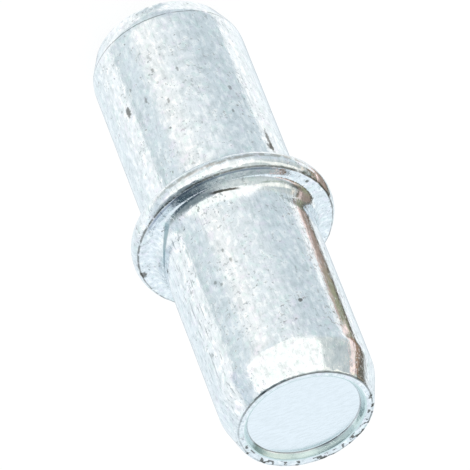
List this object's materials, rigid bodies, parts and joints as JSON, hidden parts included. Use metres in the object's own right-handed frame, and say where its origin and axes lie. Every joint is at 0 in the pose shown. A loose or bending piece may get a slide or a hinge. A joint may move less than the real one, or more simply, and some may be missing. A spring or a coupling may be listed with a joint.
{
  "type": "shelf support pin",
  "caption": "One-piece steel shelf support pin with a round-edged collar between two plug-in seats and a tapered nose and dished face at each end.",
  "frame": {"origin": "on the pin's axis, in the plane of the lower end rim that it stands on", "axes": "+Z along the pin's axis, from the lower end to the upper end; the pin is a solid of revolution, so X and Y are any two square directions across it"},
  "size_m": [0.0066, 0.0066, 0.016],
  "materials": {
    "zinc_steel": "bright zinc plating over cold-headed steel, pale blue-grey, with fine pits and lengthwise handling marks"
  },
  "bodies": {
    "root": {"shelf_pin": "zinc_steel"}
  },
  "joints": []
}
